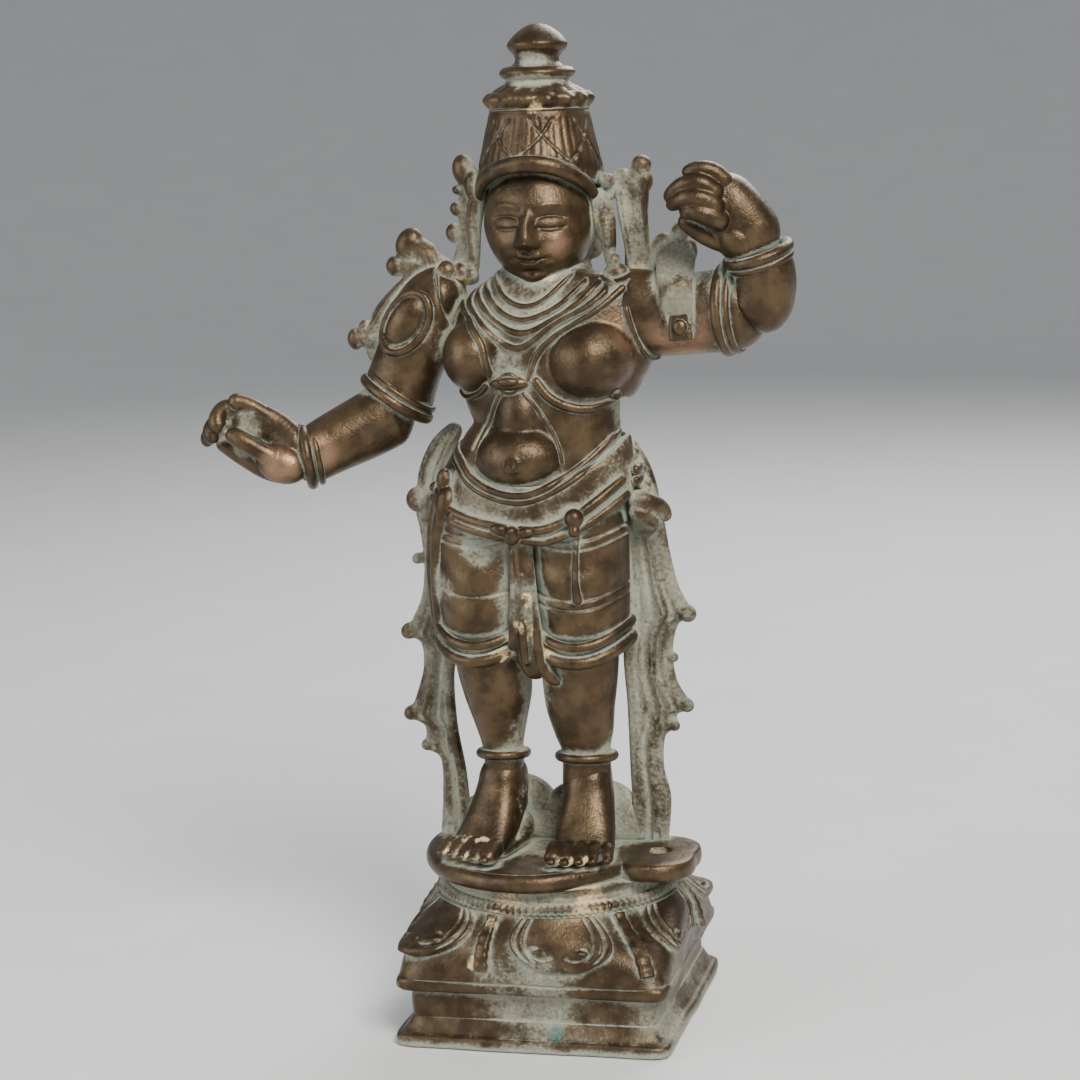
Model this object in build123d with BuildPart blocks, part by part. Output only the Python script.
from build123d import *

"""A small standing temple figure in solid brass, on a square lotus plinth.

The real object is one lost-wax casting. Its wax model is put together from rolled, pressed and cut wax
pieces, and each node below is one of those pieces: plinth mouldings, lotus, limbs, dress, ornaments, crown.
Frame: +Z up, the figure faces -Y, its right hand is at -X. The origin is the middle of the underside.
All sizes are in millimetres.
"""

import os
from math import cos, radians, sin

# ---- plinth -----------------------------------------------------------------------------------------
plinth_width = 42.5  # across the front of the foot moulding
plinth_depth = 44.5
plinth_corner = 1.6  # corner radius in plan
foot_edge_height = 2.0  # upright edge of the foot moulding
foot_slope_height = 2.0  # sloped top of the foot moulding
neck_inset = 2.2  # how far the neck stands back from the foot moulding
neck_height = 4.5
slab_inset = 0.5  # the upper slab against the foot moulding
slab_height = 2.2
slab_round = 0.7

# ---- lotus ------------------------------------------------------------------------------------------
lotus_height = 9.2
lotus_top_radius = 18.0
lotus_bulge = 1.5  # half-way up, how far the drum stands outside its top radius
petal_count = 6
petal_turn = 12.7  # degrees, the front petal against the front of the plinth
petal_half_width = 6.0
petal_half_length = 4.6
petal_thickness = 1.6
petal_lean = 66.0  # degrees, a petal's face against the horizontal
petal_proud = 1.6  # how far the petals' middles stand outside the drum's top radius
rib_radius = 0.9
bead_ring_radius = 0.9
collar_height = 2.0  # waist between the beaded ring and the standing plate
collar_inset = 1.1

# ---- standing plate and lug ---------------------------------------------------------------------------
plate_radius = 20.2
plate_height = 2.9
plate_round = 1.0
plate_cut_turn = 42.0  # degrees, the plate's cut-off front right corner against its front
lug_seat = 12.5  # x of the plate's straight right edge, where the lug starts
lug_reach = 9.6  # how far the lug stands out from its seat
lug_width = 18.0
lug_shift = -3.4  # y of the lug's middle
lug_bore_radius = 1.7
lug_bore_from_seat = 4.2

# ---- legs -------------------------------------------------------------------------------------------
stance = 14.5  # between the middles of the legs
body_x = -1.6  # the body's middle line stands a little to the figure's right
leg_y = -3.0
ankle_height = 13.5
shin_length = 17.0
thigh_length = 16.5
ankle_radius = 3.5
calf_radius = 5.3
thigh_radius = 7.2
foot_length = 17.0
foot_width = 8.6
foot_heel_width = 6.4
heel_back = 4.6  # back of the heel behind the ankle's middle
toe_height = 3.0
toe_radius = 0.95
toe_count = 5
toe_reach = 2.2
anklet_wire = 0.8
hem_wire = 1.1

# ---- trunk ------------------------------------------------------------------------------------------
trunk_y = -2.0
hip_half_width = 13.6
hip_half_depth = 9.2
pelvis_height = 9.0
waist_half_width = 10.6
waist_half_depth = 8.2
belly_height = 9.0
belly_ball = 5.0
chest_half_width = 13.6
chest_half_depth = 8.4
chest_height = 19.0
breast_radius = 6.0
breast_gap = 13.2  # between the middles of the breasts
shoulder_half_width = 12.5
shoulder_half_depth = 6.8
neck_radius = 4.6
neck_length = 3.1

# ---- head and crown -----------------------------------------------------------------------------------
head_x = 0.6
head_y = -0.8
head_half_width = 8.5
head_half_depth = 8.8
head_half_height = 9.6
crown_set_back = 0.6  # the crown's axis behind the head's
crown_foot_radius = 9.2
crown_top_radius = 7.3
crown_height = 9.0
lower_ring_radius = 7.9
lower_ring_height = 2.4
step_height = 2.2
upper_ring_radius = 5.5
upper_ring_height = 2.0
stem_height = 1.2
finial_radius = 4.4
finial_height = 4.9
diadem_wire = 1.2
diadem_tilt = 0.16  # slope of the diadem, higher in front
ear_ring_radius = 2.2
tuft_radius = 2.6

# ---- arms, one pose for each side ---------------------------------------------------------------------
shoulder_radius = 6.4
shoulder_out = 1.7  # shoulder joint outside the top of the chest
shoulder_drop = 1.6
upper_arm_length = 20.8
upper_arm_radius = 6.0
elbow_radius = 5.2
wrist_radius = 3.7
forearm_length = {"right": 13.0, "left": 10.6}
hand_length = {"right": 12.2, "left": 10.6}
upper_arm_way = {"right": (-7.9, -2.2, -20.0), "left": (19.5, -2.4, -2.0)}
forearm_way = {"right": (-11.0, -6.8, -1.8), "left": (0.3, -2.2, 10.2)}
hand_way = {"right": (-11.6, -2.7, 2.4), "left": (-7.5, -1.2, 7.4)}
finger_row = {"right": (-0.6, 1.7, 1.4), "left": (0.6, 1.9, 0.5)}
thumb_base = {"right": (-6.4, -3.4, 4.4), "left": (-6.3, -4.8, 3.8)}
thumb_way = {"right": (-5.0, -2.6, 2.8), "left": (-3.6, -0.8, 3.6)}
thumb_length = 5.6
palm_radius = 4.2
knuckle_radius = 3.2
finger_radius = 0.95
finger_pitch = 2.0
finger_reach = 2.8
thumb_radius = 1.3
finger_count = 4
bangle_wire = 0.9
armlet_share = 0.66  # where the armlet sits on the way from shoulder to elbow
bangle_share = 0.85
palm_share = 0.55  # where the palm is widest on the way from wrist to knuckles

# ---- dress and ornaments ------------------------------------------------------------------------------
drape_thickness = 2.4
drape_y = 1.8  # front face of the side drapes
web_height = 4.5
cloth_height = 4.0
cloth_wall = 0.8
girdle_height = 2.2
girdle_wall = 1.1
girdle_tilt = 10.0  # degrees, lower in front
girdle_drop = 6.2  # foot of the girdle below the top of the hips
knot_radius = 2.0
knot_spread = 9.4  # side knots from the body's middle line
pleat_radius = 1.5
tassel_length = 12.0
tassel_radius = 1.9
sash_length = 15.0
bow_radius = 2.6
hip_knob_radius = 3.0
band_height = 2.0
band_wall = 0.9
clasp_radius = 2.1
collar_half_width = 10.4
collar_half_depth = 9.4
collar_strip = 1.4
collar_slope = 0.42

# ---- levels, each from the one below ------------------------------------------------------------------
foot_top = foot_edge_height + foot_slope_height
neck_top = foot_top + neck_height
slab_top = neck_top + slab_height
lotus_top = slab_top + lotus_height
ring_top = lotus_top + 2 * bead_ring_radius
collar_top = ring_top + collar_height
plate_top = collar_top + plate_height
ankle_z = plate_top + ankle_height
hem_z = ankle_z + shin_length
thigh_top = hem_z + thigh_length
pelvis_top = thigh_top + pelvis_height
belly_top = pelvis_top + belly_height
chest_top = belly_top + chest_height
neck_base = chest_top - 1.0
head_z = neck_base + neck_length + 0.92 * head_half_height
crown_z = head_z + 0.72 * head_half_height
drum_top = crown_z + crown_height
lower_ring_top = drum_top + lower_ring_height
step_top = lower_ring_top + step_height
upper_ring_top = step_top + upper_ring_height
finial_foot = upper_ring_top + stem_height

sides = {"right": -1, "left": 1}
pieces = {}


# ---- helpers ------------------------------------------------------------------------------------------
def keep(name, builder):
    """Labels a finished piece and puts it on the list of pieces."""
    builder.part.label = name
    pieces[name] = builder.part
    return builder.part


def cut_away(*neighbours):
    """Takes neighbouring pieces out of the piece being built, so that the two meet face to face."""
    for neighbour in neighbours:
        add(neighbour, mode=Mode.SUBTRACT)


def named(*names):
    """Finished pieces by name."""
    return [pieces[name] for name in names]


def on_way(start, way, length):
    """The point at a length from start along a direction."""
    return Vector(*start) + Vector(*way).normalized() * length


def tapered_bar(start, end, start_radius, end_radius):
    """A round bar from start to end."""
    line = Vector(*end) - Vector(*start)
    foot = Plane(origin=start, z_dir=line)
    with BuildPart() as bar:
        with BuildSketch(foot):
            Circle(start_radius)
        with BuildSketch(foot.offset(line.length)):
            Circle(end_radius)
        loft()
    return bar.part


def ellipse_stack(sections):
    """A loft through level ellipses, each (x, y, z, half width, half depth)."""
    with BuildPart() as stack:
        for x, y, z, half_width, half_depth in sections:
            with BuildSketch(Plane(origin=(x, y, z))):
                Ellipse(half_width, half_depth)
        loft()
    return stack.part


def bent_bar(sections):
    """A bar through round sections, each (centre, direction, radius)."""
    with BuildPart() as bar:
        for centre, direction, radius in sections:
            with BuildSketch(Plane(origin=centre, z_dir=direction)):
                Circle(radius)
        loft()
    return bar.part


def limb(name, start, end, start_radius, end_radius, *neighbours):
    """One round, tapered member, less the neighbours it is pressed against."""
    with BuildPart() as bar:
        add(tapered_bar(start, end, start_radius, end_radius))
        cut_away(*neighbours)
    return keep(name, bar)


def ring(name, centre, axis, bore, wire):
    """A round wire bent into a ring about axis and pressed flat against a limb of radius bore."""
    place = Plane(origin=centre, z_dir=axis).location
    with BuildPart() as band:
        with Locations(place):
            Torus(bore + 0.35 * wire, wire)
            Cylinder(bore, 4 * wire, mode=Mode.SUBTRACT)
    return keep(name, band)


def buds(name, balls, *neighbours):
    """Wax balls pressed on in a group, each (centre, radius)."""
    with BuildPart() as group:
        for centre, radius in balls:
            with Locations(centre):
                Sphere(radius)
        cut_away(*neighbours)
    return keep(name, group)


def belt(name, level, half_width, half_depth, height, *neighbours):
    """A strap laid round the hips and tilted down in front."""
    tilt = radians(girdle_tilt)
    laid = Plane((body_x, trunk_y, level), x_dir=(1, 0, 0), z_dir=(0, -sin(tilt), cos(tilt)))
    with BuildPart() as strap:
        with BuildSketch(laid):
            Ellipse(half_width, half_depth)
        extrude(amount=height)
        cut_away(*neighbours)
    return keep(name, strap)


# ---- plinth: foot moulding, neck and upper slab -------------------------------------------------------
neck_width, neck_depth = plinth_width - 2 * neck_inset, plinth_depth - 2 * neck_inset
slab_width, slab_depth = plinth_width - 2 * slab_inset, plinth_depth - 2 * slab_inset

with BuildPart() as plinth_foot:
    with BuildSketch():
        RectangleRounded(plinth_width, plinth_depth, plinth_corner)
    extrude(amount=foot_edge_height)
    with BuildSketch(Plane.XY.offset(foot_edge_height)):
        RectangleRounded(plinth_width, plinth_depth, plinth_corner)
    with BuildSketch(Plane.XY.offset(foot_top)):
        RectangleRounded(neck_width, neck_depth, plinth_corner)
    loft()
keep("plinth_foot", plinth_foot)

with BuildPart() as plinth_neck:
    with BuildSketch(Plane.XY.offset(foot_top)):
        RectangleRounded(neck_width, neck_depth, plinth_corner)
    extrude(amount=neck_height)
keep("plinth_neck", plinth_neck)

with BuildPart() as plinth_slab:
    with BuildSketch(Plane.XY.offset(neck_top)):
        RectangleRounded(slab_width, slab_depth, plinth_corner)
    extrude(amount=slab_height)
    fillet(plinth_slab.faces().sort_by(Axis.Z)[0].edges(), min(slab_round, slab_height / 3))
slab = keep("plinth_slab", plinth_slab)

# ---- lotus: a square foot that rounds off into a drum, its petals and the ribs between them -----------
bulge_width = 2 * (lotus_top_radius + lotus_bulge)
bulge_corner = 0.5 * lotus_top_radius
with BuildPart() as lotus_drum:
    with BuildSketch(Plane.XY.offset(slab_top)):
        RectangleRounded(slab_width, slab_depth, plinth_corner)
    with BuildSketch(Plane.XY.offset(slab_top + 0.45 * lotus_height)):
        RectangleRounded(bulge_width, bulge_width, bulge_corner)
    with BuildSketch(Plane.XY.offset(lotus_top)):
        Circle(lotus_top_radius)
    loft()
lotus = keep("lotus_drum", lotus_drum)

petal_step = 360 / petal_count
petal_level = slab_top + 0.5 * lotus_height


def flank(turn, level, out):
    """A plane that leans back on the lotus, at an angle from the front."""
    angle = radians(turn - 90)
    outward = Vector(cos(angle), sin(angle), 0)
    face = outward * sin(radians(petal_lean)) + Vector(0, 0, cos(radians(petal_lean)))
    sideways = Vector(-sin(angle), cos(angle), 0)
    return Plane(origin=outward * out + Vector(0, 0, level), x_dir=sideways, z_dir=face)


with BuildPart() as lotus_petals:
    for n in range(petal_count):
        leaning = flank(petal_turn + n * petal_step, petal_level, lotus_top_radius + petal_proud)
        with BuildSketch(leaning):
            Ellipse(petal_half_width, petal_half_length)
        extrude(amount=petal_thickness / 2, both=True)
    cut_away(lotus, slab)
petals = keep("lotus_petals", lotus_petals)

with BuildPart() as lotus_ribs:
    for n in range(petal_count):
        turn = petal_turn + (n + 0.5) * petal_step
        low = flank(turn, slab_top + rib_radius, lotus_top_radius + 2 * lotus_bulge).origin
        high = flank(turn, lotus_top - 0.2 * rib_radius, lotus_top_radius).origin
        add(tapered_bar(low, high, 1.3 * rib_radius, 0.7 * rib_radius))
    cut_away(lotus, slab, petals)
ribs = keep("lotus_ribs", lotus_ribs)

bead_path = lotus_top_radius - 0.4 * bead_ring_radius
with BuildPart() as beaded_ring:
    with Locations((0, 0, lotus_top + bead_ring_radius)):
        Torus(bead_path, bead_ring_radius)
        Cylinder(bead_path, 2 * bead_ring_radius)
    cut_away(ribs, petals)
keep("beaded_ring", beaded_ring)

with BuildPart() as lotus_collar:
    with BuildSketch(Plane.XY.offset(ring_top)):
        Circle(bead_path - collar_inset)
    extrude(amount=collar_height)
keep("lotus_collar", lotus_collar)

# ---- standing plate with a straight right edge, and the lug with its upright bore ---------------------
plate_cut_y = lug_shift - lug_width / 2 + 0.8
with BuildPart() as standing_plate:
    with BuildSketch(Plane.XY.offset(collar_top)):
        Circle(plate_radius)
        with Locations((lug_seat, 0)):
            Rectangle(plate_radius, 3 * plate_radius, align=(Align.MIN, Align.CENTER), mode=Mode.SUBTRACT)
        with Locations(Location((lug_seat, plate_cut_y, 0), plate_cut_turn)):
            Rectangle(
                3 * plate_radius, plate_radius, align=(Align.CENTER, Align.MAX), mode=Mode.SUBTRACT
            )
    extrude(amount=plate_height)
    rim = standing_plate.edges().filter_by(GeomType.CIRCLE)
    fillet(rim, min(plate_round, 0.4 * plate_height))
plate = keep("standing_plate", standing_plate)

with BuildPart() as side_lug:
    with BuildSketch(Plane((lug_seat, lug_shift, collar_top))):
        Rectangle(lug_reach, lug_width, align=(Align.MIN, Align.CENTER))
        fillet(vertices().sort_by(Axis.X)[-2:], 0.48 * min(lug_width, 2 * lug_reach))
    extrude(amount=plate_height)
    with Locations((lug_seat + lug_bore_from_seat, lug_shift, plate_top)):
        Hole(lug_bore_radius, depth=plate_height)
lug = keep("side_lug", side_lug)

# ---- legs: feet with toes, anklets, shins, draped thighs and their rolled hems ------------------------
leg_x = {side: body_x + sign * stance / 2 for side, sign in sides.items()}
toe_turn = {"right": -14.0, "left": 6.0}  # degrees, how far each foot turns from straight ahead
toe_line = heel_back - foot_length
toe_step = foot_width / toe_count

for side in sides:
    foot_frame = Plane(Location((leg_x[side], leg_y, plate_top), (0, 0, toe_turn[side])))
    side_view = Plane(foot_frame.origin, x_dir=foot_frame.y_dir, z_dir=foot_frame.x_dir)
    with BuildPart() as foot:
        with BuildSketch(side_view):
            with BuildLine():
                Polyline(
                    (heel_back, 0),
                    (toe_line, 0),
                    (toe_line, toe_height),
                    (-1.2 * ankle_radius, 0.8 * ankle_height),
                    (-ankle_radius, ankle_height),
                    (ankle_radius, ankle_height),
                    (ankle_radius, toe_height),
                    (heel_back, 0.6 * toe_height),
                    close=True,
                )
            make_face()
        extrude(amount=foot_width, both=True)
        with BuildSketch(foot_frame) as foot_plan:
            with BuildLine():
                Polyline(
                    (-foot_width / 2, toe_line),
                    (foot_width / 2, toe_line),
                    (foot_heel_width / 2, 0),
                    (foot_heel_width / 2, heel_back),
                    (-foot_heel_width / 2, heel_back),
                    (-foot_heel_width / 2, 0),
                    close=True,
                )
            make_face()
        extrude(foot_plan.sketch, amount=ankle_height, mode=Mode.INTERSECT)
        for n in range(toe_count):
            across = (n - (toe_count - 1) / 2) * toe_step
            start = foot_frame.from_local_coords((across, toe_line + toe_radius, 1.1 * toe_radius))
            tip = foot_frame.from_local_coords((across, toe_line - toe_reach, toe_radius))
            add(tapered_bar(start, tip, 0.9 * toe_radius, 0.8 * toe_radius))
        cut_away(plate, lug)
    keep(f"{side}_foot", foot)

    ankle = (leg_x[side], leg_y, ankle_z)
    knee = (leg_x[side], leg_y, hem_z)
    shin = limb(f"{side}_shin", ankle, knee, ankle_radius, calf_radius)
    anklet_at = (leg_x[side], leg_y, ankle_z + 1.1 * anklet_wire)
    anklet_bore = ankle_radius + (calf_radius - ankle_radius) * 2.1 * anklet_wire / shin_length
    ring(f"{side}_anklet", anklet_at, (0, 0, 1), anklet_bore, anklet_wire)

    with BuildPart() as thigh:
        add(
            ellipse_stack(
                (
                    (leg_x[side], leg_y, hem_z, 0.93 * thigh_radius, thigh_radius),
                    (leg_x[side], leg_y, hem_z + 0.5 * thigh_length, thigh_radius, 1.1 * thigh_radius),
                    (leg_x[side], leg_y + 0.6, thigh_top, 0.96 * thigh_radius, 1.05 * thigh_radius),
                )
            )
        )
    keep(f"{side}_thigh", thigh)
    ring(f"{side}_hem", (leg_x[side], leg_y, hem_z - hem_wire), (0, 0, 1), calf_radius, hem_wire)

thighs = named("right_thigh", "left_thigh")
shins = named("right_shin", "left_shin")

# ---- trunk: hips, belly and chest ---------------------------------------------------------------------
with BuildPart() as pelvis:
    add(
        ellipse_stack(
            (
                (body_x, trunk_y, thigh_top, hip_half_width, hip_half_depth),
                (body_x, trunk_y, thigh_top + 0.5 * pelvis_height, 0.96 * hip_half_width, hip_half_depth),
                (body_x, trunk_y, pelvis_top, waist_half_width + 0.8, waist_half_depth + 0.6),
            )
        )
    )
hips = keep("hips", pelvis)

chest_x = body_x + 1.4
with BuildPart() as abdomen:
    add(
        ellipse_stack(
            (
                (body_x, trunk_y, pelvis_top, waist_half_width, waist_half_depth + 0.4),
                (chest_x, trunk_y, belly_top, waist_half_width, waist_half_depth),
            )
        )
    )
    with Locations((body_x, trunk_y - waist_half_depth + 0.64 * belly_ball, pelvis_top)):
        Sphere(belly_ball)
    cut_away(hips)
belly = keep("belly", abdomen)

breast_level = belly_top + 0.53 * chest_height
with BuildPart() as rib_cage:
    add(
        ellipse_stack(
            (
                (chest_x, trunk_y, belly_top, waist_half_width, waist_half_depth),
                (chest_x, trunk_y, belly_top + 0.55 * chest_height, chest_half_width, chest_half_depth),
                (chest_x, trunk_y + 1.0, chest_top, shoulder_half_width, shoulder_half_depth),
            )
        )
    )
    for sign in sides.values():
        breast_x = chest_x + sign * breast_gap / 2
        with Locations((breast_x, trunk_y - chest_half_depth + 0.66 * breast_radius, breast_level)):
            Sphere(breast_radius)
    cut_away(belly)
chest = keep("chest", rib_cage)

# ---- head on its neck, crown members, diadem, ears with side hair -------------------------------------
crown_y = head_y + crown_set_back
skull_size = (head_half_width, head_half_depth, head_half_height)
skull = Pos(head_x, head_y, head_z) * scale(Sphere(1), by=skull_size)
neck_bar = tapered_bar((head_x, head_y, neck_base), (head_x, head_y, head_z), neck_radius, neck_radius - 0.6)

with BuildPart() as head_and_neck:
    add(skull)
    add(neck_bar)
    with Locations((head_x, head_y - 0.95 * head_half_depth, head_z - 1.6)):
        Sphere(1.3)
    with BuildSketch(Plane((head_x, head_y, crown_z))):
        Circle(2 * head_half_width)
    extrude(amount=head_half_height, mode=Mode.SUBTRACT)
    cut_away(chest)
head = keep("head", head_and_neck)


def crown_member(name, *members):
    """Turned members on the crown's axis, each (foot level, top level, foot radius, top radius)."""
    with BuildPart() as turned:
        for low, high, low_radius, high_radius in members:
            add(
                tapered_bar(
                    (head_x, crown_y, low), (head_x, crown_y, high), low_radius, high_radius
                )
            )
    return keep(name, turned)


def crown_ring(name, low, high, radius):
    """A round-edged disc on the crown's axis."""
    wire = (high - low) / 2
    with BuildPart() as disc:
        with Locations((head_x, crown_y, low + wire)):
            Torus(radius - wire, wire)
            Cylinder(radius - wire, 2 * wire)
    return keep(name, disc)


drum = crown_member("crown_drum", (crown_z, drum_top, crown_foot_radius, crown_top_radius))
crown_ring("crown_lower_ring", drum_top, lower_ring_top, lower_ring_radius)
crown_member("crown_step", (lower_ring_top, step_top, 0.75 * lower_ring_radius, 0.8 * upper_ring_radius))
crown_ring("crown_upper_ring", step_top, upper_ring_top, upper_ring_radius)
finial_waist = finial_foot + 0.3 * finial_height
finial_shoulder = finial_foot + 0.6 * finial_height
crown_member(
    "crown_finial",
    (upper_ring_top, finial_foot, 0.68 * upper_ring_radius, 0.7 * finial_radius),
    (finial_foot, finial_waist, 0.7 * finial_radius, finial_radius),
    (finial_waist, finial_shoulder, finial_radius, 0.72 * finial_radius),
    (finial_shoulder, finial_foot + finial_height, 0.72 * finial_radius, 0.12 * finial_radius),
)

diadem_centre = (head_x, crown_y, crown_z + 0.4)
with BuildPart() as diadem:
    with Locations(Plane(origin=diadem_centre, z_dir=(0, diadem_tilt, 1)).location):
        Torus(crown_foot_radius, diadem_wire)
    cut_away(drum, head)
keep("diadem", diadem)

for side, sign in sides.items():
    ear_x = head_x + sign * (head_half_width + 1.4)
    lobe = ((ear_x, head_y, head_z - 4.0), ear_ring_radius)
    ear = ((ear_x, head_y + 0.4, head_z - 0.5), 1.05 * ear_ring_radius)
    tuft = ((ear_x + 0.8 * sign, head_y + 1.6, head_z + 3.2), tuft_radius)
    tip = ((ear_x + 1.6 * sign, head_y + 2.4, head_z + 6.6), 0.77 * tuft_radius)
    buds(f"{side}_ear_and_hair", (lobe, ear, tuft, tip), head, chest, *named("diadem", "crown_drum"))

ears = named("right_ear_and_hair", "left_ear_and_hair")

# ---- arms: the right one held low and out, the left one bent up ---------------------------------------
for side, sign in sides.items():
    shoulder_x = chest_x + sign * (shoulder_half_width + shoulder_out)
    shoulder = Vector(shoulder_x, trunk_y + 1.2, chest_top - shoulder_drop)
    elbow = on_way(shoulder, upper_arm_way[side], upper_arm_length)
    wrist = on_way(elbow, forearm_way[side], forearm_length[side])
    knuckles = on_way(wrist, hand_way[side], hand_length[side])

    with BuildPart() as upper_arm:
        add(tapered_bar(shoulder, elbow, upper_arm_radius, 0.97 * elbow_radius))
        with Locations(shoulder):
            Sphere(shoulder_radius)
        with Locations(elbow):
            Sphere(elbow_radius)
        cut_away(chest, belly, head, *ears)
    upper = keep(f"{side}_upper_arm", upper_arm)
    fore = limb(f"{side}_forearm", elbow, wrist, 0.94 * elbow_radius, wrist_radius, upper)

    armlet_at = on_way(shoulder, upper_arm_way[side], armlet_share * upper_arm_length)
    armlet_bore = upper_arm_radius + (elbow_radius - upper_arm_radius) * (armlet_share - 0.05)
    ring(f"{side}_armlet", armlet_at, upper_arm_way[side], armlet_bore, bangle_wire)

    palm_middle = on_way(wrist, hand_way[side], palm_share * hand_length[side])
    with BuildPart() as palm:
        add(
            bent_bar(
                (
                    (wrist, forearm_way[side], wrist_radius),
                    (palm_middle, hand_way[side], palm_radius),
                    (knuckles, hand_way[side], knuckle_radius),
                )
            )
        )
        cut_away(fore)
    hand = keep(f"{side}_hand", palm)

    bangle_at = on_way(elbow, forearm_way[side], bangle_share * forearm_length[side])
    bangle_bore = wrist_radius + (0.94 * elbow_radius - wrist_radius) * (1 - bangle_share + 0.08)
    ring(f"{side}_bangle", bangle_at, forearm_way[side], bangle_bore, bangle_wire)

    with BuildPart() as digits:
        for n in range(finger_count):
            shift = (n - (finger_count - 1) / 2) * finger_pitch
            root = on_way(knuckles, finger_row[side], shift)
            buried, tip = (on_way(root, hand_way[side], reach) for reach in (-finger_radius, finger_reach))
            add(tapered_bar(buried, tip, finger_radius, 0.8 * finger_radius))
        thumb_foot = wrist + Vector(*thumb_base[side])
        thumb_tip = on_way(thumb_foot, thumb_way[side], thumb_length)
        add(tapered_bar(thumb_foot, thumb_tip, thumb_radius, 0.8 * thumb_radius))
        cut_away(hand)
    keep(f"{side}_fingers", digits)

    top = shoulder + Vector(2.6 * sign, 0.6, shoulder_radius)
    upper_bud = top + Vector(0.6 * sign, 0, 2.2)
    buds(f"{side}_shoulder_buds", ((top, 2.4), (upper_bud, 1.7)), upper, chest, head, *ears)

upper_arms = named("right_upper_arm", "left_upper_arm")
armlets = named("right_armlet", "left_armlet")
shoulder_buds = named("right_shoulder_buds", "left_shoulder_buds")

# ---- necklaces: collar, chest band and pendant --------------------------------------------------------
with BuildPart() as neck_collar:
    laid_on_chest = Plane(
        (head_x, trunk_y + 0.6, chest_top - 2.6), x_dir=(1, 0, 0), z_dir=(0, -collar_slope, 1)
    )
    with BuildSketch(laid_on_chest):
        Ellipse(collar_half_width, collar_half_depth)
    extrude(amount=collar_strip)
    cut_away(chest, head, *upper_arms, *shoulder_buds, *ears)
collar = keep("collar", neck_collar)

band_foot = belly_top + 1.0
with BuildPart() as under_band:
    with BuildSketch(Plane((chest_x, trunk_y, band_foot))):
        Ellipse(waist_half_width + 1.4 * band_wall, waist_half_depth + 1.4 * band_wall)
    extrude(amount=band_height)
    cut_away(chest, belly, *upper_arms, *armlets)
band = keep("chest_band", under_band)

clasp_at = Vector(chest_x - 0.4, trunk_y - waist_half_depth - 1.4, band_foot + 0.5 * band_height)
strand_end = clasp_at + Vector(0.4, -0.6, 1.1 * clasp_radius)
buds("chest_pendant", ((clasp_at, clasp_radius), (strand_end, 0.5 * clasp_radius)), band, belly, chest)

# ---- waist cloth, girdle with its knots, and what hangs from it ---------------------------------------
girdle_level = pelvis_top - girdle_drop
cloth_half_width = hip_half_width + cloth_wall
cloth_half_depth = hip_half_depth + cloth_wall
cloth = belt(
    "waist_cloth", girdle_level + girdle_height, cloth_half_width, cloth_half_depth, cloth_height, hips, belly
)
girdle_half_width = cloth_half_width + girdle_wall
girdle_half_depth = cloth_half_depth + girdle_wall
girdle = belt(
    "girdle", girdle_level, girdle_half_width, girdle_half_depth, girdle_height, hips, belly, cloth, *thighs
)

front_y = trunk_y - girdle_half_depth
knot_level = girdle_level - 1.0
knot_at = {
    "middle": Vector(body_x, front_y, knot_level - 1.0),
    "right": Vector(body_x - knot_spread, front_y + 1.2, knot_level),
    "left": Vector(body_x + knot_spread, front_y + 1.2, knot_level),
}
knot_balls = [(place, knot_radius) for place in knot_at.values()]
knots = buds("girdle_knots", knot_balls, cloth, girdle, hips, *thighs)

thigh_front = leg_y - thigh_radius
pleat_top = (body_x, thigh_front + 0.2, knot_level)
pleat_tail = (body_x, thigh_front + 0.8, hem_z - 5.0)
with BuildPart() as pleat:
    add(tapered_bar(pleat_top, pleat_tail, pleat_radius, 0.3 * pleat_radius))
    cut_away(hips, girdle, knots)
keep("front_pleat", pleat)

with BuildPart() as tassel:
    tassel_foot = Vector(knot_at["left"].X, thigh_front - 0.8, knot_level - tassel_length)
    add(tapered_bar(knot_at["left"], tassel_foot, 0.5 * tassel_radius, tassel_radius))
    cut_away(girdle, hips, knots, *thighs)
keep("girdle_tassel", tassel)

with BuildPart() as sash:
    sash_foot = Vector(knot_at["right"].X + 0.8, thigh_front - 0.2, knot_level - sash_length)
    add(tapered_bar(knot_at["right"], sash_foot, 1.2, 0.9))
    cut_away(girdle, hips, knots, *thighs)
keep("girdle_sash", sash)

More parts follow.
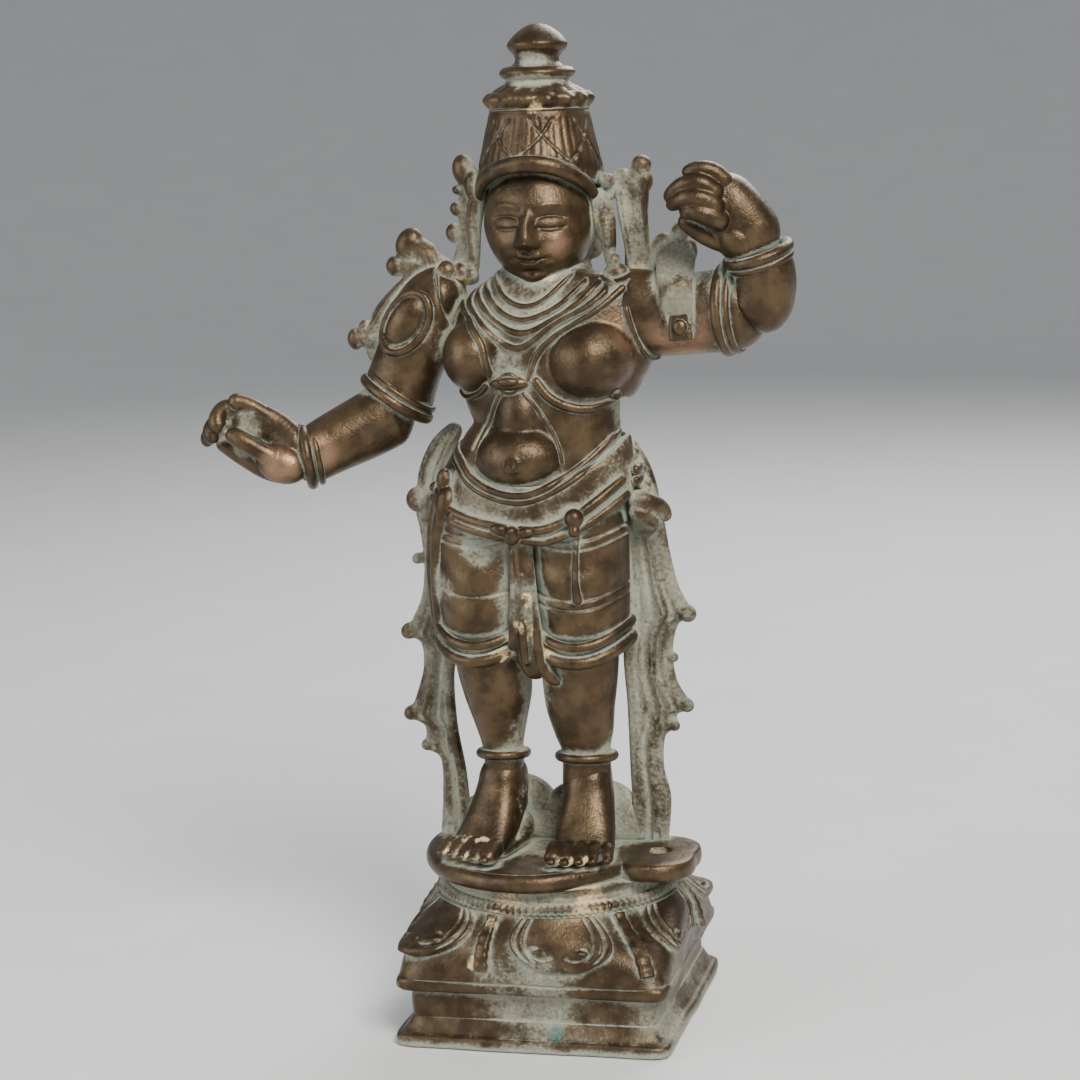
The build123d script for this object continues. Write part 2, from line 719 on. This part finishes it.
# ---- side drapes, the web behind the heels, and the bows and knob at the hips -------------------------
# Each outline point is (outward from the hip, share of the way from the standing plate to the hips' top).
drape_outlines = {
    "right": (
        (-1.8, 0.88), (2.4, 0.96), (5.2, 0.94), (8.4, 0.88), (7.2, 0.77), (6.4, 0.63), (8.8, 0.56),
        (6.2, 0.45), (9.0, 0.32), (5.8, 0.22), (5.2, 0.0), (-0.6, 0.0), (0.2, 0.24), (1.6, 0.49), (1.2, 0.7),
    ),
    "left": (
        (-1.4, 0.88), (2.6, 0.95), (5.6, 0.91), (5.0, 0.77), (6.0, 0.69), (9.3, 0.62), (6.6, 0.49),
        (8.8, 0.37), (5.6, 0.29), (5.4, 0.17), (4.9, 0.0), (0.1, 0.0), (0.4, 0.24), (-0.4, 0.49), (0.8, 0.7),
    ),
}
drape_plane = Plane((body_x, drape_y + drape_thickness, 0), x_dir=(1, 0, 0), z_dir=(0, -1, 0))
for side, sign in sides.items():
    outline = [
        (sign * (hip_half_width + out), plate_top + share * (pelvis_top - plate_top))
        for out, share in drape_outlines[side]
    ]
    with BuildPart() as drape:
        with BuildSketch(drape_plane):
            with BuildLine():
                Polyline(*outline, close=True)
            make_face()
        extrude(amount=drape_thickness)
        cut_away(hips, girdle, cloth, lug, plate, *thighs)
    keep(f"{side}_drape", drape)

drapes = named("right_drape", "left_drape")

with BuildPart() as heel_web:
    with BuildSketch(drape_plane):
        with Locations((0, plate_top)):
            Rectangle(2 * hip_half_width, web_height, align=(Align.CENTER, Align.MIN))
    extrude(amount=2 * drape_thickness)
    cut_away(plate, lug, *drapes, *shins, *named("right_foot", "left_foot", "right_anklet", "left_anklet"))
keep("heel_web", heel_web)

bow_x = body_x + girdle_half_width + 0.4
bow_step = 1.7 * bow_radius
bows = [
    ((bow_x, trunk_y + 0.6 * n, girdle_level + 2.4 - bow_step * n), bow_radius * (1 - 0.08 * n))
    for n in range(3)
]
buds("left_hip_bows", bows, girdle, cloth, hips, *drapes, *thighs)
knob_at = (body_x - girdle_half_width - 0.6, trunk_y, girdle_level)
buds("right_hip_knob", ((knob_at, hip_knob_radius),), girdle, cloth, hips, *drapes, *thighs)

# ---- write the pieces ---------------------------------------------------------------------------------
os.makedirs("parts", exist_ok=True)
for name, piece in pieces.items():
    export_step(piece, f"parts/{name}.step")
